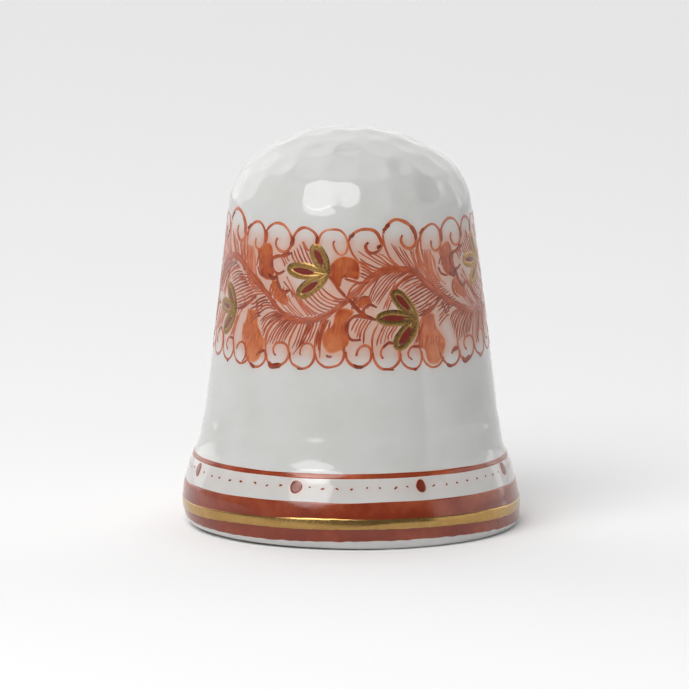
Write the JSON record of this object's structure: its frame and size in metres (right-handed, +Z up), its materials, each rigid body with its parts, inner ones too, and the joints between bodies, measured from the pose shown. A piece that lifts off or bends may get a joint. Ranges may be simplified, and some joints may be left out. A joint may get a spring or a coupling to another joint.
{
  "type": "thimble",
  "caption": "Tall domed porcelain thimble with a needle-dimpled crown, a painted scroll and flower frieze, and a banded, flared foot.",
  "frame": {"origin": "centre of the mouth, in the plane of the foot ring it stands on", "axes": "+Z up along the axis through the crown; -Y is the front of the painted pattern"},
  "size_m": [0.023, 0.023, 0.0269],
  "materials": {
    "biscuit": "matte",
    "clear_glaze": "gloss",
    "iron_red_line": "gloss",
    "iron_red_band": "gloss",
    "orange_wash": "gloss",
    "dark_red": "gloss",
    "gilding": "satin"
  },
  "bodies": {
    "root": {"biscuit_body": "biscuit", "outer_glaze": "clear_glaze", "inner_glaze": "clear_glaze", "foot_upper_line": "iron_red_line", "foot_large_dots": "iron_red_line", "foot_small_dots": "iron_red_line", "foot_red_band": "iron_red_band", "foot_gilt_band": "gilding", "frieze_stem": "iron_red_line", "frieze_upper_scrolls": "iron_red_line", "frieze_lower_scrolls": "iron_red_line", "frieze_feather_lines": "iron_red_line", "frieze_leaf_washes": "orange_wash", "flower_gilt_petals": "gilding", "flower_red_hearts": "dark_red"}
  },
  "joints": []
}
